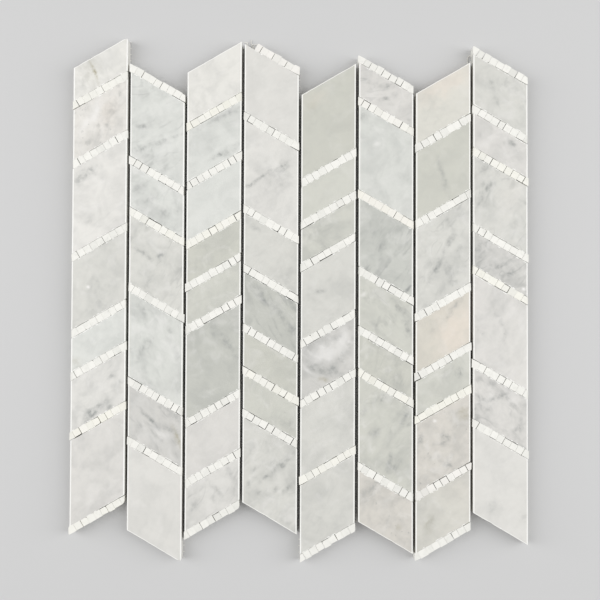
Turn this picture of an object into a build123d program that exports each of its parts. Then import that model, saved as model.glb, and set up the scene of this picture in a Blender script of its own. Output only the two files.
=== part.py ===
"""Marble mosaic sheet: slanted tiles and strips of chips in eight columns on a net."""
import os
from math import cos, radians, tan

from build123d import *

# Columns of stone, side by side, with open joints for grout between them
COLUMN_PITCH = 38.1
COLUMN_JOINT = 1.7
SLANT = 30.0

# Stone, in modules along a column: a strip of chips takes one, a tile takes several
MODULE = 5.64
STONE_THICKNESS = 10.0
TILE_ARRIS = 0.4

# Chips of a strip, laid tight
CHIP_LENGTH = 4.75
CHIP_JOINT = 0.15

# Chips lost from the left end of the top strip of the fourth column
CHIPS_LOST = 2
LOSS_COLUMN = 4

# Net under the stone: long threads lie lowest, cross threads lie on them
THREADS_PER_COLUMN = 9
THREAD_WIDTH = 0.6
THREAD_THICKNESS = 0.25
NET_MARGIN = 1.0

# Each column, in modules: its step down from the first one, and its tiles from the top
COLUMNS = (
    (0.0, (4, 6, 10, 8, 4, 6, 10)),
    (3.1, (10, 5, 8, 10, 6, 10)),
    (0.5, (6, 6, 6, 4, 4, 10, 6, 5)),
    (-0.2, (8, 10, 6, 6, 4, 4, 10)),
    (3.1, (10, 4, 4, 8, 6, 8, 8)),
    (2.0, (4, 10, 8, 6, 4, 10, 6)),
    (2.9, (6, 8, 10, 6, 4, 8, 6)),
    (0.9, (6, 4, 8, 4, 10, 6, 10)),
)

tile_width = COLUMN_PITCH - COLUMN_JOINT
sheet_width = COLUMN_PITCH * len(COLUMNS) - COLUMN_JOINT
column_length = MODULE * (sum(COLUMNS[0][1]) + len(COLUMNS[0][1]))
sheet_top = (column_length + MODULE * max(step for step, tiles in COLUMNS)) / 2
net_pitch = COLUMN_PITCH / THREADS_PER_COLUMN
stone_base = 2 * THREAD_THICKNESS
slope = tan(radians(SLANT))
strip_length = tile_width / cos(radians(SLANT))
chip_depth = MODULE * cos(radians(SLANT)) - 2 * CHIP_JOINT
chip_pitch = CHIP_LENGTH + CHIP_JOINT
chip_cuts = int(strip_length / chip_pitch)


def column_x(column):
    """Middle line of a column, counted from 1 at the left."""
    return COLUMN_PITCH * (column - (len(COLUMNS) + 1) / 2)


def rises(column):
    """Ends of odd columns climb to the right by 1, those of even ones fall by 1."""
    return 1 if column % 2 else -1


def bands(column):
    """Tiles and strips of a column as (high, low) on its middle line, from the top."""
    step, lengths = COLUMNS[column - 1]
    tiles = []
    strips = []
    height = sheet_top - step * MODULE
    for length in lengths:
        if rises(column) < 0:
            strips.append((height, height - MODULE))
            height -= MODULE
        tiles.append((height, height - length * MODULE))
        height -= length * MODULE
        if rises(column) > 0:
            strips.append((height, height - MODULE))
            height -= MODULE
    return tiles, strips


def slanted(width, high, low, rise):
    """Parallelogram with upright sides, its ends sloping by the slant."""
    lift = rise * slope * width / 2
    Polygon(
        (-width / 2, low - lift),
        (width / 2, low + lift),
        (width / 2, high + lift),
        (-width / 2, high - lift),
    )


os.makedirs("parts", exist_ok=True)

# Veined tiles: sawn on the slant from strips of one width, whose long face edges are eased
for column in range(1, len(COLUMNS) + 1):
    tile_bands, strip_bands = bands(column)
    with BuildPart() as tiles:
        with BuildSketch(Plane.XY.offset(stone_base)):
            with Locations((column_x(column), 0)):
                for high, low in tile_bands:
                    slanted(tile_width, high, low, rises(column))
        extrude(amount=STONE_THICKNESS)
        face_edges = tiles.faces().filter_by(Axis.Z).group_by(Axis.Z)[-1].edges()
        chamfer(face_edges.filter_by(Axis.Y), TILE_ARRIS)
    tiles.part.label = f"marble_tiles_column_{column}"
    export_step(tiles.part, f"parts/marble_tiles_column_{column}.step")

# White chips: each strip is cut square across, its end chips trimmed to the column
for column in range(1, len(COLUMNS) + 1):
    tile_bands, strip_bands = bands(column)
    inset = CHIP_JOINT / cos(radians(SLANT))
    with BuildPart() as chips:
        with BuildSketch(Plane.XY.offset(stone_base)):
            for high, low in strip_bands:
                with Locations((column_x(column), 0)):
                    slanted(tile_width, high - inset, low + inset, rises(column))
                middle = (column_x(column), (high + low) / 2)
                with Locations(Location(middle, rises(column) * SLANT)):
                    with GridLocations(chip_pitch, 0, chip_cuts, 1):
                        Rectangle(CHIP_JOINT, 2 * chip_depth, mode=Mode.SUBTRACT)
            if column == LOSS_COLUMN:
                high, low = strip_bands[0]
                middle = (column_x(column), (high + low) / 2)
                last_lost = chip_pitch * (CHIPS_LOST - (chip_cuts + 1) / 2)
                with Locations(Location(middle, rises(column) * SLANT)):
                    with Locations((last_lost, 0)):
                        Rectangle(
                            strip_length,
                            2 * chip_depth,
                            align=(Align.MAX, Align.CENTER),
                            mode=Mode.SUBTRACT,
                        )
        extrude(amount=STONE_THICKNESS)
    chips.part.label = f"white_chips_column_{column}"
    export_step(chips.part, f"parts/white_chips_column_{column}.step")

# Outline of the net: the columns joined across their joints, drawn in from the edges
with BuildSketch() as outline:
    for column in range(1, len(COLUMNS) + 1):
        high = sheet_top - COLUMNS[column - 1][0] * MODULE - NET_MARGIN
        low = high - column_length + 2 * NET_MARGIN
        with Locations((column_x(column), 0)):
            slanted(COLUMN_PITCH, high, low, rises(column))
    Rectangle(sheet_width - 2 * NET_MARGIN, 4 * sheet_top, mode=Mode.INTERSECT)

# Long threads: they run under the columns and keep clear of the open joints
with BuildPart() as warp:
    with BuildSketch():
        with GridLocations(net_pitch, 0, THREADS_PER_COLUMN * len(COLUMNS), 1):
            Rectangle(THREAD_WIDTH, 4 * sheet_top)
        add(outline.sketch, mode=Mode.INTERSECT)
    extrude(amount=THREAD_THICKNESS)
warp.part.label = "net_long_threads"
export_step(warp.part, "parts/net_long_threads.step")

# Cross threads: they tie the columns together and show in the joints
with BuildPart() as weft:
    with BuildSketch(Plane.XY.offset(THREAD_THICKNESS)):
        with GridLocations(0, net_pitch, 1, int(2.2 * sheet_top / net_pitch)):
            Rectangle(2 * sheet_width, THREAD_WIDTH)
        add(outline.sketch, mode=Mode.INTERSECT)
    extrude(amount=THREAD_THICKNESS)
weft.part.label = "net_cross_threads"
export_step(weft.part, "parts/net_cross_threads.step")
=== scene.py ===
import math
import random

import bmesh
import bpy
from mathutils import Matrix, Vector


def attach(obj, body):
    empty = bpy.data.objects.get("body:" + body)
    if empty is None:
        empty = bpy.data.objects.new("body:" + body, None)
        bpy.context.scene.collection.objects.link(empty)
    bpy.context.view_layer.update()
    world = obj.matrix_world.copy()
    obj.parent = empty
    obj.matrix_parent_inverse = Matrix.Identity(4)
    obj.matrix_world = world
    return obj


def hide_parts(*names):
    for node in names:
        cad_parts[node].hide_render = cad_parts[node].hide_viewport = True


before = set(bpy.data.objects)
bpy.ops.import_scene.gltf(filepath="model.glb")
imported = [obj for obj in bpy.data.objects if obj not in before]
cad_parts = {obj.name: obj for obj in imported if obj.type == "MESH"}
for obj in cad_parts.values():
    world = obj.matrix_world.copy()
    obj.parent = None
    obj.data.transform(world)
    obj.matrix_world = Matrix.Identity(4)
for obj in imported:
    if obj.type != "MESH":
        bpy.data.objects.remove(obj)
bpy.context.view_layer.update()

# Veined tiles: honed grey and white marble, sawn on the slant from long strips whose face
# edges were eased first. Each is glued face up on the net, tight to the strips of chips.
MM = 0.001
COLUMNS = range(1, 9)
SLANT = math.radians(30)
HALF_WIDTH = 18.2 * MM
NEAR_FACE = 10.0 * MM
MARKS_PER_TILE = 7
CLOUDS_PER_TILE = 3
TILE_SEED = 11

# How far tiles are off their size and place, and how they are worn
SAWN_SHORT = 0.12 * MM
LAID_ASIDE = 0.1 * MM
LAID_HIGH = 0.06 * MM
EDGE_WEAR = 0.06 * MM
END_NICKS = 12
NICK_DEPTH = 0.09 * MM
TIP_LOST = 2.4 * MM
TIP_REACH = 1.0 * MM

# Columns that slipped to the right, and those whose upper (1) or lower (-1) tip is lost
SLIPPED = {1: 0.15 * MM, 2: 0.1 * MM, 6: 0.2 * MM, 7: 0.15 * MM}
LOST_TIPS = {1: 1, 2: -1}

# Limits for merging the solids' triangles, and for telling their faces and ends apart
WELD = 0.01 * MM
FLAT = math.radians(1)
UPRIGHT_NORMAL = 0.3
LEVEL_NORMAL = 0.9
NO_FREE_END = 99.0

# Colours in the stone, and its ground tints
# The arris colour is partly the paler crushed stone of the eased edges and partly a painted
# highlight on them.
ARRIS_WHITE_AND_HIGHLIGHT = (0.95, 0.945, 0.915, 1.0)
BLOOM_WHITE = (0.86, 0.845, 0.825, 1.0)
WARM_CLOUD = (0.81, 0.715, 0.625, 1.0)
VEIN_GREY = (0.29, 0.30, 0.29, 1.0)
VEIN_RUST = (0.36, 0.33, 0.22, 1.0)
NOISE_ROUGHNESS = 0.55
GRAIN_HEIGHT = 0.2 * MM
TINT_DRIFT = 0.015
TINTS = {
    "chalk": (0.785, 0.772, 0.728),
    "pale": (0.746, 0.732, 0.695),
    "rose": (0.757, 0.733, 0.688),
    "white": (0.720, 0.708, 0.672),
    "ivory": (0.694, 0.678, 0.645),
    "cool": (0.690, 0.698, 0.662),
    "mist": (0.672, 0.680, 0.642),
    "grey": (0.660, 0.655, 0.613),
    "fawn": (0.662, 0.647, 0.590),
    "sage": (0.612, 0.613, 0.555),
    "ash": (0.615, 0.605, 0.575),
    "fern": (0.575, 0.575, 0.515),
    "deep": (0.553, 0.560, 0.520),
    "slate": (0.535, 0.540, 0.495),
    "blush": (0.668, 0.640, 0.587),
    "bisque": (0.695, 0.682, 0.620),
    "cream": (0.658, 0.628, 0.556),
}

# How strongly a tile shows clouds, streaks, mottling, specks and fine veins
FIGURES = {
    "plain": (0.12, 0.05, 0.05, 0.0, 0.0),
    "even": (0.20, 0.08, 0.07, 0.0, 0.04),
    "cloudy": (0.28, 0.12, 0.09, 0.0, 0.10),
    "streaked": (0.20, 0.42, 0.10, 0.0, 0.08),
    "mottled": (0.24, 0.24, 0.16, 0.0, 0.24),
    "veined": (0.22, 0.20, 0.10, 0.0, 0.20),
    "specked": (0.26, 0.10, 0.14, 0.3, 0.05),
}

# Each column's tiles from the top end: tint, figure, lie of the grain in degrees, and its
# veins and smudges, each with its place from the tile's middle in mm, its lie in degrees,
# its half length and half width in mm, and its depth, which is below zero for a rusty one
TILES = {
    1: (
        ("chalk", "even", 120, (
            (-5.8, 1.3, -62, 4.6, 0.7, -0.45), (-3, -4.9, -70, 4.4, 0.7, -0.6),
            (-4.1, -1.9, 0, 1.1, 0.9, -0.4), (-6.5, -1, -65, 12, 5, -0.12),
            (-12, -7, 70, 8, 4, 0.12))),
        ("rose", "specked", 70, (
            (4.2, -3.6, 40, 1.3, 1, 0.4), (-1.3, -3.8, 0, 1, 1, 0.3), (6, 4, 60, 8, 5, 0.14),
            (13, 17.2, 60, 1.6, 1.2, 0.4), (-7.7, -15, 40, 1.6, 1, 0.45),
            (11.3, 23, 30, 2, 1, 0.3), (8.8, -1.5, 0, 1, 1, 0.35))),
        ("pale", "even", 40, (
            (-6, 16, 40, 4.5, 2.2, 0.45), (-14, 11, 40, 4, 2.2, 0.4),
            (-9, -18, 30, 3, 1.5, 0.18))),
        ("grey", "even", 60, ((2, -5, 30, 8, 5, 0.14), (0.5, -16, 30, 6, 3, 0.2))),
        ("cool", "even", 60, ((-15, -16, 30, 4, 3, -0.2),)),
        ("white", "cloudy", 40, (
            (-5.1, -16.6, 50, 5, 1.8, 0.6), (1.2, -10.8, 45, 4.5, 1.6, 0.65),
            (-3.4, -14.6, 41, 9, 4, 0.2), (9.3, 10.5, 40, 2.4, 1.4, 0.4),
            (13.5, 4, 60, 3, 2, 0.2), (8, -11, 20, 2, 1.2, 0.35))),
        ("ivory", "even", 50, ()),
    ),
    2: (
        ("cool", "veined", 30, (
            (-10, 1.5, 0, 3.2, 1.2, 0.45), (-12, -13, 20, 4, 2, 0.4),
            (1, -9, 21, 10, 0.9, 0.48), (-2, 27, 40, 5, 2.5, 0.2), (5, -27, 60, 2, 1.3, 0.3))),
        ("cool", "cloudy", 50, (
            (-12, 8, 20, 4, 2.4, 0.22), (-2.5, 1.5, 40, 2.4, 1.8, 0.32),
            (-6, -2, 30, 3, 2, 0.18), (6, -10, 70, 4, 2.6, 0.28), (14.5, -6, 60, 2, 1.6, 0.32))),
        ("grey", "veined", 60, (
            (-8, 7, -37, 5.5, 1, 0.55), (3.5, 6, 40, 3.2, 1.2, 0.55),
            (-5.5, -14, 60, 5, 1.8, 0.28))),
        ("mist", "cloudy", 110, (
            (-9, 25, -70, 7, 1.3, 0.26), (-4, 4, -35, 4, 1.4, 0.3), (-9.5, 0, 75, 4, 1.3, 0.26),
            (-11, -8, 10, 2.6, 1.4, 0.26), (9.5, 13, 85, 5, 1.2, 0.26),
            (13.5, -1.5, -70, 5, 1.2, 0.24))),
        ("ash", "streaked", -50, (
            (-6, 7, -44, 7, 1.1, 0.42), (-0.5, 1.5, -50, 5, 1.1, 0.46),
            (9, -2, -28, 6, 1.4, 0.48), (15, -9, -68, 6.5, 1.3, -0.7),
            (4.5, -10, -35, 4, 1.4, 0.2), (11.5, 7.5, -30, 4.5, 2.2, 0.42),
            (-12, -2, 30, 3, 2.2, 0.2))),
        ("white", "plain", 70, ()),
    ),
    3: (
        ("chalk", "even", 40, ()),
        ("cool", "even", 30, (
            (12, 20, 25, 4, 2, 0.26), (1, 14.2, 28, 11, 1.4, 0.34), (8, -6.5, 30, 6, 1.6, 0.42),
            (2.5, -10, 25, 4, 1.2, 0.42), (14.5, -4.5, 60, 2.4, 1.4, 0.3))),
        ("cool", "plain", 30, ()),
        ("fern", "even", 20, ((-8, -8, 20, 10, 4, 0.12),)),
        ("sage", "even", 30, ()),
        ("slate", "even", -40, ((6, 15, -48, 14, 2.8, 0.3), (12, 10, -45, 6, 2, 0.2))),
        ("ivory", "plain", 60, ((2, -16, 40, 5, 2, 0.15),)),
        ("white", "veined", 60, (
            (12, 14, -60, 5, 1.2, 0.26), (1.6, 4, -45, 5, 1.2, 0.34),
            (-12, -8, 70, 4, 1.5, 0.25))),
    ),
    4: (
        ("white", "plain", 30, ()),
        ("white", "even", 30, (
            (7.7, 8, 40, 3, 2.4, 0.52), (-9.5, -1.4, 34, 8, 0.9, 0.38),
            (-14, -5, 20, 2.6, 1.2, 0.45), (0, 4.2, 32, 7, 1, 0.34), (5, 0, 40, 10, 5, 0.12))),
        ("grey", "even", 40, ((-12, 18, -40, 3.2, 1.4, 0.35), (12, -17, 40, 5, 4, 0.15))),
        ("slate", "streaked", -56, (
            (4, 2, -52, 16, 2.2, 0.4), (11.5, 9, -50, 6, 1.6, 0.42),
            (15, -10, -50, 4, 1.7, 0.42), (-6, 12, -50, 9, 2, 0.25))),
        ("fern", "even", 80, ((15, -10, 80, 5, 3, 0.16),)),
        ("sage", "even", 60, ((12, -9, 50, 8, 6, 0.18),)),
        ("grey", "cloudy", 45, (
            (7, 6.4, 42, 7.5, 1.7, 0.55), (-3.1, -1.9, 35, 3, 1, 0.36),
            (12, -7.8, 36, 4.5, 1.2, 0.38), (-8.8, 5.2, 40, 3.5, 1.2, 0.36),
            (-14.4, -5.7, 60, 1.8, 1.4, 0.48), (-7.6, -10.8, 30, 1.6, 1.2, 0.42),
            (4, -8.1, 60, 1.8, 1.4, 0.38))),
    ),
    5: (
        ("fern", "plain", 40, ((-13, -4, 40, 4, 2.4, 0.12), (-12, 10, 60, 6, 4, -0.1))),
        ("sage", "plain", 40, ()),
        ("sage", "cloudy", 20, ((-9, 2, 20, 7, 4, 0.16),)),
        ("grey", "even", 30, ((-5.6, -0.5, 20, 2.6, 1.2, 0.45),)),
        ("ash", "cloudy", -30, (
            (-15, 7, 60, 6, 2.6, 0.3), (-10.5, -4, -45, 5, 2, 0.5), (1, -8.5, -12, 8, 2, 0.5),
            (7.5, -2.5, 60, 5, 2, 0.32), (-2.7, -14.3, 0, 2.6, 1.1, -0.7),
            (14, 9, 70, 6, 2.4, 0.25), (6, 14.5, 30, 3, 1.2, 0.35))),
        ("grey", "even", 50, ()),
        ("grey", "even", 60, ((-6, -10, 60, 5, 2, 0.12),)),
    ),
    6: (
        ("ivory", "veined", 10, (
            (1, 6.5, 10, 4, 1.4, 0.5), (-0.5, -2.5, 5, 3, 1.1, 0.55),
            (-10, 6.5, 40, 3, 2.2, 0.2))),
        ("mist", "even", 60, ((-14.5, 31, 70, 3, 2.6, 0.35),)),
        ("deep", "streaked", 52, (
            (3, 5, 52, 16, 1.8, 0.2), (6, -5, 52, 13, 1.2, 0.2), (14.6, -28, 42, 5, 0.9, 0.85),
            (-15.5, 28, 40, 1.6, 1.2, 0.35))),
        ("sage", "veined", -50, (
            (10.5, 4, -52, 7, 1.7, 0.62), (14, -9, -60, 4, 2, 0.52), (-8, 12, 20, 6, 3, 0.16))),
        ("fern", "cloudy", 60, ((5, -4, 60, 10, 5, 0.16), (-8, 2, 40, 6, 4, 0.12))),
        ("sage", "cloudy", 50, (
            (-14.5, 15, 60, 3.5, 1.6, 0.52), (-2, 24.8, 45, 3.4, 1.6, 0.45),
            (-8.7, 0.9, 35, 3, 1.7, 0.5), (12, 10, 70, 4.6, 1.2, 0.5),
            (15.2, 7, 25, 2.6, 0.9, 0.42), (2.3, -16.5, 80, 4, 1.2, 0.5),
            (4.5, -21.5, 40, 5, 1.4, 0.42))),
        ("blush", "specked", 60, ((-9, 17, 50, 6, 2.4, 0.36), (9, -10, 40, 1.6, 1.5, -0.35))),
    ),
    7: (
        ("bisque", "plain", 40, ((-6, -8, 30, 12, 8, 0.08),)),
        ("fern", "plain", 80, ((-1.8, 2, -73, 6, 1.2, 0.32), (1.5, -9, -75, 5, 1.4, 0.28))),
        ("grey", "veined", 60, (
            (-2.5, -4.5, 62, 13, 1.3, 0.3), (5, 10, 60, 5, 1.4, 0.32),
            (1.5, 20.5, 80, 4, 1.6, 0.3), (4.6, -12.3, -65, 5, 1.8, 0.52),
            (-6, -10, 70, 6, 2, 0.3), (12, 4, 60, 4, 1.7, 0.26), (-13, 3, 50, 3, 2, 0.15))),
        ("cream", "plain", 50, ((6, 14.7, 52, 6.5, 1.5, 0.48), (-8, 4, 50, 6, 4, 0.12))),
        ("sage", "even", 60, ((10.5, 7, 60, 2, 1.8, 0.8), (2, 5, 40, 4, 2, 0.15))),
        ("blush", "specked", 40, (
            (14.2, 18.5, 60, 3.2, 2.8, -0.65), (1, 2.6, 60, 2.8, 2.2, 0.7),
            (-15.2, 1.6, 80, 2.6, 1.6, 0.6), (3, -15, -40, 5, 1.8, 0.38),
            (-7.5, -9.3, 0, 3, 1.2, 0.4))),
        ("fawn", "even", 40, ((-8.8, -8.3, 65, 4, 2.2, -0.32), (-8.8, -8, 65, 3, 1.2, 0.28))),
    ),
    8: (
        ("grey", "even", -50, (
            (-7, 9, -60, 4, 1.6, 0.3), (5, 7, -30, 6, 3.2, 0.28), (-2.5, -4.6, -70, 3.2, 1, 0.38),
            (16, -6, 60, 5, 3, 0.2))),
        ("ivory", "even", -50, (
            (9, 0, -55, 4.5, 1.3, 0.45), (4, 2, -30, 4, 1.8, 0.14), (-14, 7, 40, 2.6, 1.8, 0.2))),
        ("grey", "veined", 60, (
            (-9.2, 11.5, 60, 4.5, 2.4, 0.48), (-13, 2.5, 62, 9, 1.1, 0.42),
            (-10, 24, 40, 5, 2, 0.3), (11, -12, 50, 5, 2, 0.15))),
        ("ash", "mottled", 40, (
            (-12.5, 11, 40, 7, 2.8, 0.42), (1.6, 0, 30, 9, 3, 0.28), (7.5, -6, 40, 5, 2, 0.38))),
        ("ivory", "even", 60, (
            (0.5, 6.5, -65, 9, 1, 0.25), (3, -2.6, 60, 3.6, 1.7, 0.26),
            (-11, -1.5, -45, 5, 2.2, 0.2))),
        ("ivory", "mottled", -40, (
            (-6.8, 16, 20, 3.2, 1.6, 0.32), (1, 8.7, 20, 2.6, 1.4, 0.45),
            (6.5, 4, -42, 6, 1, 0.4), (-11.5, 6, -30, 3.4, 1, 0.4), (-6, 6, 25, 3.2, 1, 0.4),
            (-9.7, 1, -20, 2.8, 1.3, 0.36), (12.5, -12, 60, 4, 1.8, 0.34))),
        ("white", "plain", 40, ((15, -20, 60, 3, 2, 0.2), (-4, -15, 30, 6, 3, 0.14))),
    ),
}

# Clouds of some tiles, by column and tile and given as marks are: pale ones, and warm ones
# of a depth below zero
CLOUDS = {
    (1, 2): ((-3, 5, 80, 7, 1.6, 0.5), (-10.5, -5, 60, 7, 2, 0.4), (6, 4, 60, 7, 5, -0.3)),
    (1, 4): ((-7, -4.5, 0, 0.9, 0.9, 0.9),),
    (2, 5): ((2.5, -3, -40, 5, 1.8, 0.4), (-1, -9, -30, 6, 2.5, 0.25)),
    (5, 1): ((-8, 15, 30, 6, 4, -0.18),),
    (5, 5): (
        (-1, 3.5, 20, 8, 4, 0.62), (9.5, 13.5, 75, 5, 2.4, 0.52), (-13.5, -7.5, -40, 4, 1, 0.4)),
    (6, 2): ((-6.5, 12.7, 20, 1.8, 1.2, 0.5),),
    (6, 4): ((-15, 14, 20, 1.6, 1, 0.5),),
    (7, 1): ((0, 13, 30, 16, 6, -0.5),),
    (7, 4): ((8, 1, 80, 14, 9, -0.58),),
    (7, 6): ((-5.7, 14.3, 0, 0.9, 0.9, 0.8),),
    (7, 7): ((11, 15, 30, 7, 5, -0.12),),
    (8, 3): ((8, -2, 70, 16, 7, 0.1), (9, 6, 70, 12, 6, -0.1)),
    (8, 4): ((15.4, -16.8, 0, 0.9, 0.9, 0.9),),
}


def stones_of(node, corner_values=(), face_values=()):
    """A merged copy of a node's solids, and its stones from the top as lists of corners."""
    bm = bmesh.new()
    bm.from_mesh(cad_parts[node].data)
    for name in corner_values:
        bm.verts.layers.float_vector.new(name)
    for name in face_values:
        bm.faces.layers.float_vector.new(name)
    bmesh.ops.remove_doubles(bm, verts=bm.verts, dist=WELD)
    bmesh.ops.dissolve_limit(bm, angle_limit=FLAT, verts=bm.verts, edges=bm.edges)
    bm.verts.ensure_lookup_table()
    seen = set()
    stones = []
    for start in bm.verts:
        if start in seen:
            continue
        seen.add(start)
        stone = [start]
        for vert in stone:
            for edge in vert.link_edges:
                other = edge.other_vert(vert)
                if other not in seen:
                    seen.add(other)
                    stone.append(other)
        stones.append(stone)
    stones.sort(key=lambda stone: -middle_of(stone).y)
    return bm, stones


def middle_of(stone):
    """Middle of a stone's corners."""
    return sum((vert.co for vert in stone), Vector()) / len(stone)


def soften(bm, edges, offset, segments=1):
    """Wears edges down by a small flat or round."""
    bmesh.ops.bevel(
        bm,
        geom=edges,
        offset=offset,
        offset_type="OFFSET",
        segments=segments,
        profile=0.5,
        affect="EDGES",
        clamp_overlap=True,
        material=-1,
    )


def add_piece(name, bm, material, slot, *nodes):
    """Makes a bmesh a piece of the sheet, in place of its CAD nodes where it has some."""
    mesh = bpy.data.meshes.new(name)
    bm.to_mesh(mesh)
    bm.free()
    mesh.materials.append(material)
    piece = bpy.data.objects.new(name, mesh)
    bpy.context.scene.collection.objects.link(piece)
    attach(piece, "root")
    if nodes:
        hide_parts(*nodes)


class Shade:
    """One socket of a material: sums on it add Math nodes."""

    def __init__(self, tree, socket=None):
        self.tree = tree
        self.socket = socket

    def add(self, kind, settings, inputs, output=0):
        """Adds a node, its settings first and then its sockets, and gives an output."""
        node = self.tree.nodes.new("ShaderNode" + kind)
        for name, value in settings.items():
            setattr(node, name, value)
        for name, value in inputs.items():
            if isinstance(value, Shade):
                self.tree.links.new(value.socket, node.inputs[name])
            else:
                node.inputs[name].default_value = value
        return Shade(self.tree, node.outputs[output])

    def math(self, operation, first, second):
        return self.add("Math", {"operation": operation}, {0: first, 1: second})

    def __add__(self, other):
        return self.math("ADD", self, other)

    def __sub__(self, other):
        return self.math("SUBTRACT", self, other)

    def __rsub__(self, other):
        return self.math("SUBTRACT", other, self)

    def __mul__(self, other):
        return self.math("MULTIPLY", self, other)

    def __abs__(self):
        return self.math("ABSOLUTE", self, 0.0)

    __radd__ = __add__
    __rmul__ = __mul__

    def above(self, floor):
        return self.math("MAXIMUM", self, floor)

    def below(self, ceiling):
        return self.math("MINIMUM", self, ceiling)

    def between(self, low, high):
        """Climbs smoothly from 0 at low to 1 at high."""
        return self.add(
            "MapRange",
            {"interpolation_type": "SMOOTHSTEP"},
            {"Value": self, "From Min": low, "From Max": high},
        )

    def attribute(self, name, output="Vector"):
        return self.add("Attribute", {"attribute_name": name}, {}, output)

    def parts(self):
        """The three numbers of a vector."""
        return [
            self.add("SeparateXYZ", {}, {"Vector": self}, axis) for axis in ("X", "Y", "Z")
        ]

    def stretched(self, scale):
        return self.add("VectorMath", {"operation": "MULTIPLY"}, {0: self, 1: scale})

    def noise(self, scale, detail, distortion=0.0, output="Fac"):
        """Noise at this place."""
        return self.add(
            "TexNoise",
            {},
            {
                "Vector": self,
                "Scale": scale,
                "Detail": detail,
                "Roughness": NOISE_ROUGHNESS,
                "Distortion": distortion,
            },
            output,
        )

    def blend(self, first, second):
        """The first colour where this is 0, and the second where it is 1."""
        return self.add("Mix", {"data_type": "RGBA"}, {0: self, 6: first, 7: second}, 2)

    def grain(self, strength):
        """The normals of a surface that stands as high as this."""
        inputs = {"Strength": strength, "Distance": GRAIN_HEIGHT, "Height": self}
        return self.add("Bump", {}, inputs)

    def feeds(self, shader, name):
        self.tree.links.new(self.socket, shader.inputs[name])


def new_material(name):
    """A material with a Principled shader, and the start of its node sums."""
    material = bpy.data.materials.new(name)
    material.use_nodes = True
    shader = material.node_tree.nodes["Principled BSDF"]
    return material, shader, Shade(material.node_tree)


veined_marble, shader, ink = new_material("veined_marble")
slab = ink.attribute("slab")
cloud_depth, streak_depth, mottle_depth = ink.attribute("figure").parts()
speck_depth, eased, sawn = ink.attribute("finish").parts()
from_middle, from_top, from_bottom = ink.attribute("edge").parts()
free_end = ink.attribute("free_end", "Fac")
vein_depth = ink.attribute("veins", "Fac")
drift_along, drift_across, drift_fine = slab.noise(scale=110.0, detail=3.0, output="Color").parts()
clouds = slab.noise(scale=60.0, detail=3.0, distortion=0.5).between(0.38, 0.70)
bloom = slab.noise(scale=85.0, detail=3.0, distortion=0.9).between(0.48, 0.74)
streaks = slab.stretched((55.0, 185.0, 120.0)).noise(scale=1.0, detail=2.0, distortion=0.8)
streaks = streaks.between(0.48, 0.72) * slab.noise(scale=90.0, detail=1.0).between(0.38, 0.62)
mottle = slab.noise(scale=260.0, detail=4.0, distortion=0.3).between(0.35, 0.75)
specks = slab.noise(scale=420.0, detail=1.0).between(0.70, 0.80)
veins = slab.stretched((38.0, 75.0, 60.0)).noise(scale=1.0, detail=2.0, distortion=0.7)
veins = 1.0 - abs(veins - 0.5).between(0.0, 0.04)
veins = veins * slab.noise(scale=75.0, detail=1.0).between(0.45, 0.62)
crumble = slab.noise(scale=450.0, detail=2.0)
grey = clouds * cloud_depth + streaks * streak_depth + mottle * mottle_depth
grey = grey + specks * speck_depth + veins * vein_depth
grey = grey + 0.05 * (crumble - 0.5)


def patch_of(name):
    """A ragged patch round a mark or cloud, a core in a soft halo, and its depth."""
    along_patch, across_patch, depth = ink.attribute(name).parts()
    along_patch = along_patch + 1.2 * (drift_along - 0.5)
    across_patch = across_patch + 3.4 * (drift_across - 0.5)
    reach = along_patch * along_patch + across_patch * across_patch
    core = 0.42 - 0.42 * reach.between(0.0, 1.4)
    halo = 0.46 - 0.46 * reach.between(0.0, 5.0)
    return core + halo, depth


rust = 0.0
for number in range(MARKS_PER_TILE):
    patch, depth = patch_of(f"mark_{number}")
    patch = patch * (0.35 + 1.1 * mottle)
    grey = grey + patch * depth.above(0.0)
    rust = patch * (0.0 - depth).above(0.0) + rust
pale = bloom * cloud_depth
warm = 0.0
for number in range(CLOUDS_PER_TILE):
    patch, depth = patch_of(f"cloud_{number}")
    pale = pale + patch * depth.above(0.0)
    warm = patch * (0.0 - depth).above(0.0) + warm
stone_colour = warm.blend(ink.attribute("tint", "Color"), WARM_CLOUD)
stone_colour = grey.blend(stone_colour, VEIN_GREY)
stone_colour = rust.blend(stone_colour, VEIN_RUST)
stone_colour = pale.blend(stone_colour, BLOOM_WHITE)
# Rims: the eased chamfers and a ragged band along the top face's rims are painted near white. This
# is partly the paler chipped stone of the edges and partly a painted highlight where the arrises
# catch the light. Sawn faces are kept out.
from_side = HALF_WIDTH / MM - abs(from_middle) + 0.3 * (drift_fine - 0.5)
from_end = from_top.below(from_bottom) - 0.8 * crumble.between(0.42, 0.72)
side_rim = 0.85 - 0.85 * from_side.between(0.65, 1.05)
free_rim = 0.8 - 0.8 * free_end.between(0.35, 0.75)
end_rim = 0.8 - 0.8 * from_end.between(-0.15, 0.15)
rim = side_rim.above(free_rim).above(end_rim)
rim_wear_and_highlight = (rim * (1.0 - sawn)).above(eased)
stone_colour = rim_wear_and_highlight.blend(stone_colour, ARRIS_WHITE_AND_HIGHLIGHT)
stone_colour.feeds(shader, "Base Color")
roughness = 0.34 + 0.10 * mottle + 0.35 * sawn
roughness.feeds(shader, "Roughness")
saw_lines = slab.stretched((90.0, 90.0, 2400.0)).noise(scale=1.0, detail=2.0) * sawn
honing = slab.noise(scale=1500.0, detail=2.0)
(honing + 2.0 * saw_lines).grain(0.15).feeds(shader, "Normal")


def place_in_block(draw):
    """A place in the block of marble that a stone was sawn from."""
    return Vector((draw.uniform(-1, 1), draw.uniform(-1, 1), draw.uniform(-1, 1)))


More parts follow.
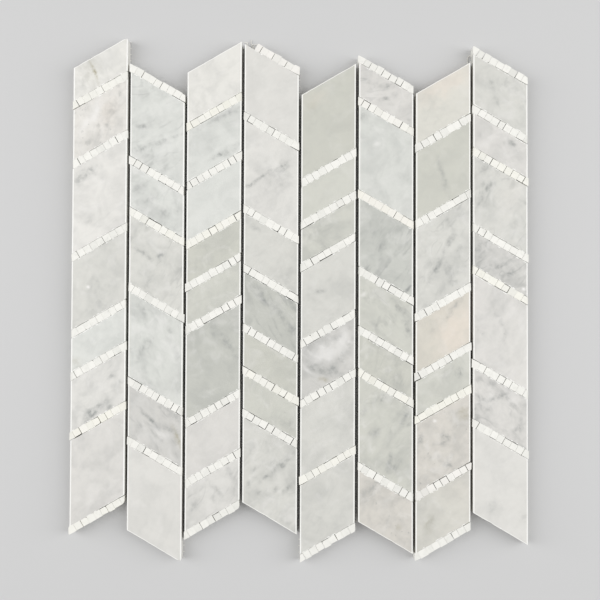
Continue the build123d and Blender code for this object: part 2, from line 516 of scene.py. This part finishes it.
def place_on_patch(offset, patch):
    """A corner's place along and across a mark or cloud in its half sizes, and the depth."""
    patch_x, patch_y, patch_lie, patch_length, patch_width, patch_depth = patch
    aim = math.radians(patch_lie)
    away = offset / MM - Vector((patch_x, patch_y, 0.0))
    along_patch = away.dot(Vector((math.cos(aim), math.sin(aim), 0.0)))
    across_patch = away.dot(Vector((-math.sin(aim), math.cos(aim), 0.0)))
    return along_patch / patch_length, across_patch / patch_width, patch_depth


draw = random.Random(TILE_SEED)
mark_names = [f"mark_{number}" for number in range(MARKS_PER_TILE)]
cloud_names = [f"cloud_{number}" for number in range(CLOUDS_PER_TILE)]
corner_values = ["slab", "edge", "free_end"] + mark_names + cloud_names
face_values = ["tint", "figure", "finish", "veins"]
for column in COLUMNS:
    rise = 1 if column % 2 else -1
    slope = rise * math.tan(SLANT)
    node = f"marble_tiles_column_{column}"
    bm, stones = stones_of(node, corner_values, face_values)
    on_corner = bm.verts.layers.float_vector
    on_face = bm.faces.layers.float_vector
    for number, stone in enumerate(stones):
        tint, figure, lie, marks = TILES[column][number]
        *broad_figure, speck_figure, vein_figure = FIGURES[figure]
        patches = list(zip(mark_names, marks))
        patches += zip(cloud_names, CLOUDS.get((column, number + 1), ()))
        middle = middle_of(stone)
        half_length = max(
            vert.co.y - middle.y - slope * (vert.co.x - middle.x) for vert in stone
        )
        at_free_end = stone is stones[0 if rise > 0 else -1]
        grain_turn = Matrix.Rotation(math.radians(-lie), 3, "Z")
        block_place = place_in_block(draw)
        aside = draw.uniform(-LAID_ASIDE, LAID_ASIDE) + SLIPPED.get(column, 0.0)
        shift = Vector((aside, 0.0, draw.uniform(-LAID_HIGH, LAID_HIGH)))
        tint_share = draw.uniform(1 - TINT_DRIFT, 1 + TINT_DRIFT)
        for vert in stone:
            offset = vert.co - middle
            reach = offset.y - slope * offset.x
            to_top = (half_length - reach) / MM
            to_bottom = (half_length + reach) / MM
            to_free_end = NO_FREE_END
            if at_free_end:
                to_free_end = to_top if rise > 0 else to_bottom
            vert[on_corner["slab"]] = grain_turn @ offset + block_place
            vert[on_corner["edge"]] = (offset.x / MM, to_top, to_bottom)
            vert[on_corner["free_end"]] = [to_free_end] * 3
            for name, patch in patches:
                vert[on_corner[name]] = place_on_patch(offset, patch)
            vert.co.x -= math.copysign(SAWN_SHORT, offset.x)
            vert.co += shift
        for face in {face for vert in stone for face in vert.link_faces}:
            face.normal_update()
            eased_face = 1.0 if UPRIGHT_NORMAL < face.normal.z < LEVEL_NORMAL else 0.0
            sawn_face = 1.0 if abs(face.normal.z) < UPRIGHT_NORMAL else 0.0
            face[on_face["tint"]] = Vector(TINTS[tint]) * tint_share
            face[on_face["figure"]] = broad_figure
            face[on_face["finish"]] = (speck_figure, eased_face, sawn_face)
            face[on_face["veins"]] = [vein_figure] * 3
    face_ends = [
        edge
        for edge in bm.edges
        if min(vert.co.z for vert in edge.verts) > NEAR_FACE
        and abs(edge.verts[0].co.x - edge.verts[1].co.x) > HALF_WIDTH
    ]
    nicks = bmesh.ops.subdivide_edges(bm, edges=face_ends, cuts=END_NICKS)
    for vert in nicks["geom_inner"]:
        if isinstance(vert, bmesh.types.BMVert):
            to_top, to_bottom = vert[on_corner["edge"]].yz
            inwards = 1 if to_bottom < to_top else -1
            vert.co.y += inwards * abs(draw.gauss(0.0, NICK_DEPTH))
    if column in LOST_TIPS:
        outermost = max(bm.verts, key=lambda vert: LOST_TIPS[column] * vert.co.y)
        tip = outermost.co.xy
        tip_edges = [
            edge
            for edge in bm.edges
            if all((vert.co.xy - tip).length < TIP_REACH for vert in edge.verts)
        ]
        soften(bm, tip_edges, TIP_LOST, segments=2)
    soften(bm, bm.edges[:], EDGE_WEAR)
    add_piece(f"veined_tiles_{column}", bm, veined_marble, "veined_marble", node)

# White chips: small squares of plain white marble in slanted strips between the tiles.
# They are laid by hand, so their joints open and close, and thin corners are nipped off.
CHIP_WHITE = (0.864, 0.854, 0.808, 1.0)
CHIP_GREY = (0.66, 0.66, 0.62, 1.0)
CHIP_PINK = (0.86, 0.80, 0.77, 1.0)
CHIP_CREAM = (0.87, 0.85, 0.72, 1.0)
CHIP_GREYING = 0.2
TONE_SHARE = (0.3, 1.0)
STRIP_WIDTH = 5.0 * MM
UPRIGHT_EDGE = 5.0 * MM
CHIP_JOINT = 0.15 * MM
CHIP_BEVEL = 0.06 * MM
CHIP_SEED = 23

# Joints along a strip's sides, in runs where they are open, and on the sheet's free ends
TIGHT_SIDE = (-0.02 * MM, 0.03 * MM)
OPEN_SIDE = (0.18 * MM, 0.40 * MM)
OPEN_SIDE_CHANCE = 0.15
OPEN_RUN = (1, 2)
RUN_SHARE = (0.7, 1.1)
FREE_SIDE = (-0.2 * MM, 0.4 * MM)

# Joints between a strip's chips, with the odds of an open, a close and a tight one
OPEN_END = (0.2 * MM, 0.45 * MM)
CLOSE_END = (0.06 * MM, 0.14 * MM)
TIGHT_END = 0.03 * MM
END_ODDS = (26, 44, 30)

# How far strips and chips are off their places, and end chips stand out of the column
STRIP_SLIDE = 1.1 * MM
CUT_SCATTER = 0.25 * MM
CHIP_LEVEL = (-0.1 * MM, 0.08 * MM)
CHIP_ASKEW = 0.05 * MM
JUT = 0.12 * MM
JUT_SCATTER = 0.3 * MM
LEAST_JUT = -0.3 * MM
MOST_JUT = 0.75 * MM

# Nipped corners and their chances, and the one corner that is broken right off
SMALL_NIP = 0.35 * MM
LARGE_NIP = 0.9 * MM
BROKEN_CORNER = 2.6 * MM
BROKEN_COLUMN = 1
SMALL_NIP_CHANCE = 0.15
CORNER_LOSS = 0.02
THIN_TIP_LOSS = 0.35
FREE_TIP_LOSS = 0.6

white_marble, shader, ink = new_material("white_marble")
slab = ink.attribute("slab")
grey, pink, cream = ink.attribute("tone").parts()
cloud = slab.noise(scale=260.0, detail=3.0, distortion=0.5).between(0.45, 0.80)
chip_colour = (0.36 * cloud + grey).blend(CHIP_WHITE, CHIP_GREY)
chip_colour = pink.blend(chip_colour, CHIP_PINK)
chip_colour = cream.blend(chip_colour, CHIP_CREAM)
chip_colour.feeds(shader, "Base Color")
roughness = 0.45 + 0.2 * cloud
roughness.feeds(shader, "Roughness")
slab.noise(scale=900.0, detail=3.0).grain(0.2).feeds(shader, "Normal")


def strips_of(stones, across):
    """A column's strips from the top, each with its chips from the left."""
    strips = []
    for stone in sorted(stones, key=lambda stone: -middle_of(stone).dot(across)):
        if strips and (middle_of(strips[-1][0]) - middle_of(stone)).dot(across) < STRIP_WIDTH:
            strips[-1].append(stone)
        else:
            strips.append([stone])
    return [sorted(strip, key=lambda stone: middle_of(stone).x) for strip in strips]


def side_joints(draw, count):
    """Widths of the joints along one side of a strip: mostly tight, with open runs."""
    widths = []
    while len(widths) < count:
        if draw.random() < OPEN_SIDE_CHANCE:
            width = draw.uniform(*OPEN_SIDE)
            run = draw.randint(*OPEN_RUN)
            widths += [width * draw.uniform(*RUN_SHARE) for each in range(run)]
        else:
            widths.append(draw.uniform(*TIGHT_SIDE))
    return widths[:count]


def end_joint(draw):
    """Width of the joint between two chips of a strip."""
    open_width = draw.uniform(*OPEN_END)
    close_width = draw.uniform(*CLOSE_END)
    return draw.choices((open_width, close_width, TIGHT_END), END_ODDS)[0]


def tone_of_some(draw, chance, least, most):
    """A tone that only some strips have."""
    return draw.uniform(least, most) if draw.random() < chance else 0.0


draw = random.Random(CHIP_SEED)
for column in COLUMNS:
    rise = SLANT if column % 2 else -SLANT
    along = Vector((math.cos(rise), math.sin(rise), 0.0))
    across = Vector((-along.y, along.x, 0.0))
    node = f"white_chips_column_{column}"
    bm, stones = stones_of(node, ["slab"], ["tone"])
    on_corner = bm.verts.layers.float_vector
    on_face = bm.faces.layers.float_vector
    strips = strips_of(stones, across)
    nips = {BROKEN_CORNER: [], LARGE_NIP: [], SMALL_NIP: []}
    for strip in strips:
        count = len(strip)
        outer = strip is strips[0 if rise < 0 else -1]
        upper_joints = side_joints(draw, count)
        lower_joints = side_joints(draw, count)
        if outer and rise < 0:
            upper_joints = [draw.uniform(*FREE_SIDE) for stone in strip]
        if outer and rise > 0:
            lower_joints = [draw.uniform(*FREE_SIDE) for stone in strip]
        slide = draw.uniform(-STRIP_SLIDE, STRIP_SLIDE)
        cuts = [slide + draw.gauss(0.0, CUT_SCATTER) for each in range(count + 1)]
        end_joints = [end_joint(draw) for each in range(count + 1)]
        strip_pink = tone_of_some(draw, chance=0.15, least=0.1, most=0.3)
        strip_cream = tone_of_some(draw, chance=0.2, least=0.15, most=0.4)
        for number, stone in enumerate(strip):
            middle = middle_of(stone)
            level = draw.uniform(*CHIP_LEVEL)
            block_place = place_in_block(draw)
            jut = max(LEAST_JUT, min(MOST_JUT, draw.gauss(JUT, JUT_SCATTER)))
            askew = draw.gauss(0.0, CHIP_ASKEW)
            for vert in stone:
                offset = vert.co - middle
                left = offset.dot(along) < 0
                low = offset.dot(across) < 0
                at_end = number == (0 if left else count - 1)
                vert[on_corner["slab"]] = vert.co + block_place
                if at_end:
                    vert.co.x += -jut if left else jut
                else:
                    cut = number if left else number + 1
                    gap = CHIP_JOINT - end_joints[cut]
                    vert.co += along * (cuts[cut] + (-gap if left else gap) / 2)
                gap = CHIP_JOINT - (lower_joints if low else upper_joints)[number]
                gap += askew if left else -askew
                vert.co += across * (-gap if low else gap)
                vert.co.x += SLIPPED.get(column, 0.0)
                if offset.z > 0:
                    vert.co.z += level
                    continue
                free_tip = outer and at_end
                thin_tip = at_end and left != (low == (rise < 0))
                loss = FREE_TIP_LOSS if free_tip else THIN_TIP_LOSS if thin_tip else CORNER_LOSS
                for edge in vert.link_edges:
                    if abs(edge.other_vert(vert).co.z - vert.co.z) < UPRIGHT_EDGE:
                        continue
                    if free_tip and low and not left and column == BROKEN_COLUMN:
                        nips[BROKEN_CORNER].append(edge)
                    elif draw.random() < loss:
                        nips[LARGE_NIP].append(edge)
                    elif draw.random() < SMALL_NIP_CHANCE:
                        nips[SMALL_NIP].append(edge)
            tone = (
                abs(draw.gauss(0.0, CHIP_GREYING)),
                strip_pink * draw.uniform(*TONE_SHARE),
                strip_cream * draw.uniform(*TONE_SHARE),
            )
            for vert in stone:
                for face in vert.link_faces:
                    face[on_face["tone"]] = tone
    for size, edges in nips.items():
        soften(bm, [edge for edge in edges if edge.is_valid], size, segments=2)
    soften(bm, bm.edges[:], CHIP_BEVEL)
    add_piece(f"white_chips_{column}", bm, white_marble, "white_marble", node)

# Net: flat bundles of white glass fibre, long ones below and cross ones above, stiff with
# the glue that holds the stone. Only its ticks across the joints show from the face.
NET_WHITE = (0.85, 0.84, 0.80, 1.0)
NET_SHADE = (0.66, 0.65, 0.61, 1.0)
NET_ROUGHNESS = 0.5
THREAD_ROUND = 0.08 * MM

net_fibre, shader, ink = new_material("net_fibre")
on_net = ink.add("TexCoord", {}, {}, "Object")
strands = on_net.noise(scale=2600.0, detail=2.0).between(0.3, 0.7)
strands.blend(NET_WHITE, NET_SHADE).feeds(shader, "Base Color")
shader.inputs["Roughness"].default_value = NET_ROUGHNESS
for layer in ("long_threads", "cross_threads"):
    node = f"net_{layer}"
    bm = stones_of(node)[0]
    soften(bm, bm.edges[:], THREAD_ROUND)
    add_piece(f"{layer}_of_net", bm, net_fibre, "net", node)

# Loose threads: the net's outer thread at the top of the last column has come away and
# bulges out of the joint. Where chips were lost, two bare thread ends stand out of the net.
LOOSE_RADIUS = 0.28 * MM
LOOSE_ROUNDNESS = 2
LOOSE_WELD = 0.001 * MM

# Their routes in mm, the loop first
LOOSE_PATHS = (
    (
        (114.4, 156.6, 0.38),
        (113.95, 157.7, 0.40),
        (113.1, 159.3, 0.50),
        (112.9, 162.0, 0.50),
        (113.3, 164.8, 0.45),
        (115.0, 165.1, 0.38),
    ),
    ((-32.0, 169.3, 0.38), (-33.0, 171.4, 0.40), (-33.5, 173.4, 0.50), (-33.4, 175.2, 0.50)),
    (
        (-33.2, 172.2, 0.42),
        (-31.5, 171.8, 0.42),
        (-29.8, 172.2, 0.40),
        (-28.3, 171.4, 0.40),
        (-27.2, 169.3, 0.38),
    ),
)

route = bpy.data.curves.new("loose_threads", "CURVE")
route.dimensions = "3D"
route.bevel_depth = LOOSE_RADIUS
route.bevel_resolution = LOOSE_ROUNDNESS
route.use_fill_caps = True
for path in LOOSE_PATHS:
    spline = route.splines.new("NURBS")
    spline.points.add(len(path) - 1)
    for point, place in zip(spline.points, path):
        point.co = (*(Vector(place) * MM), 1.0)
    spline.order_u = 3
    spline.use_endpoint_u = True
threads = bpy.data.objects.new("loose_threads", route)
bm = bmesh.new()
bm.from_mesh(bpy.data.meshes.new_from_object(threads))
bmesh.ops.remove_doubles(bm, verts=bm.verts, dist=LOOSE_WELD)
bmesh.ops.recalc_face_normals(bm, faces=bm.faces)
add_piece("loose_threads_of_net", bm, net_fibre, "net")

# Glue: dried drops of the white glue of the net, squeezed out at the sheet's lower end.
# They cling to the foot of the stone and to the ends of the threads.
GLUE_WHITE = (0.72, 0.71, 0.67, 1.0)
GLUE_GREY = (0.45, 0.44, 0.42, 1.0)
GLUE_ROUGHNESS = 0.35
GLUE_LUMPS = 0.06 * MM

# Place of each drop in mm, its turn in degrees, and its half sizes in mm
GLUE_DROPS = (
    ((-29.1, -140.0, 0.7), -30, (1.7, 1.1, 0.7)),
    ((-36.6, -135.8, 0.5), -12, (1.7, 0.9, 0.5)),
    ((38.1, -148.5, 0.45), 0, (0.9, 0.6, 0.45)),
)

dried_glue, shader, ink = new_material("dried_glue")
on_drop = ink.add("TexCoord", {}, {}, "Object")
dirt = on_drop.noise(scale=700.0, detail=2.0).between(0.35, 0.65)
dirt.blend(GLUE_WHITE, GLUE_GREY).feeds(shader, "Base Color")
shader.inputs["Roughness"].default_value = GLUE_ROUGHNESS
bm = bmesh.new()
for place, turn, half_sizes in GLUE_DROPS:
    turned = Matrix.Rotation(math.radians(turn), 3, "Z").to_quaternion()
    shape = Matrix.LocRotScale(Vector(place) * MM, turned, Vector(half_sizes) * MM)
    bmesh.ops.create_icosphere(bm, subdivisions=2, radius=1.0, matrix=shape)
for vert in bm.verts:
    vert.co += Vector((draw.gauss(0.0, GLUE_LUMPS), draw.gauss(0.0, GLUE_LUMPS), 0.0))
add_piece("drops_of_glue", bm, dried_glue, "net")

# Studio: a plain pale floor, a softbox on each side, and a camera that looks down from a
# little below the middle of the sheet.
FLOOR_HALF = 3.0
FLOOR_BELOW = 0.1 * MM
FLOOR_GREY = (0.60, 0.60, 0.60, 1.0)
FLOOR_ROUGHNESS = 0.9
ROOM_WHITE = (1.0, 1.0, 1.0, 1.0)
ROOM_LIGHT = 0.45
SOFTBOX_WIDTH = 1.0
SOFTBOX_LENGTH = 1.8
SOFTBOX_WATTS = 13.5
SOFTBOX_ASIDE = 1.1
SOFTBOX_ALONG = 0.1
SOFTBOX_HEIGHT = 1.0

# Camera: its lens, sensor and place in mm, and its turn in degrees
LENS = 61.49
SENSOR = 36.0
CAMERA_PLACE = (3.22, -17.54, 690.0)
CAMERA_TURN = (1.399, 0.229, 0.238)

bm = bmesh.new()
bmesh.ops.create_grid(bm, x_segments=1, y_segments=1, size=FLOOR_HALF)
floor_mesh = bpy.data.meshes.new("floor")
bm.to_mesh(floor_mesh)
bm.free()
floor = bpy.data.objects.new("floor", floor_mesh)
floor.location.z = -FLOOR_BELOW
bpy.context.scene.collection.objects.link(floor)
floor_paint, shader, ink = new_material("floor_paint")
shader.inputs["Base Color"].default_value = FLOOR_GREY
shader.inputs["Roughness"].default_value = FLOOR_ROUGHNESS
floor_mesh.materials.append(floor_paint)

world = bpy.data.worlds.new("soft_room")
world.use_nodes = True
room = world.node_tree.nodes["Background"]
room.inputs["Color"].default_value = ROOM_WHITE
room.inputs["Strength"].default_value = ROOM_LIGHT
bpy.context.scene.world = world

for side in (-1, 1):
    lamp = bpy.data.lights.new("softbox", "AREA")
    lamp.shape = "RECTANGLE"
    lamp.size = SOFTBOX_WIDTH
    lamp.size_y = SOFTBOX_LENGTH
    lamp.energy = SOFTBOX_WATTS
    softbox = bpy.data.objects.new("softbox", lamp)
    softbox.location = (SOFTBOX_ASIDE * side, SOFTBOX_ALONG, SOFTBOX_HEIGHT)
    softbox.rotation_euler = (-softbox.location).to_track_quat("-Z", "Y").to_euler()
    bpy.context.scene.collection.objects.link(softbox)

lens = bpy.data.cameras.new("camera")
lens.sensor_width = SENSOR
lens.lens = LENS
camera = bpy.data.objects.new("camera", lens)
camera.location = Vector(CAMERA_PLACE) * MM
camera.rotation_euler = [math.radians(turn) for turn in CAMERA_TURN]
bpy.context.scene.collection.objects.link(camera)
bpy.context.scene.camera = camera
bpy.context.scene.view_settings.view_transform = "Standard"
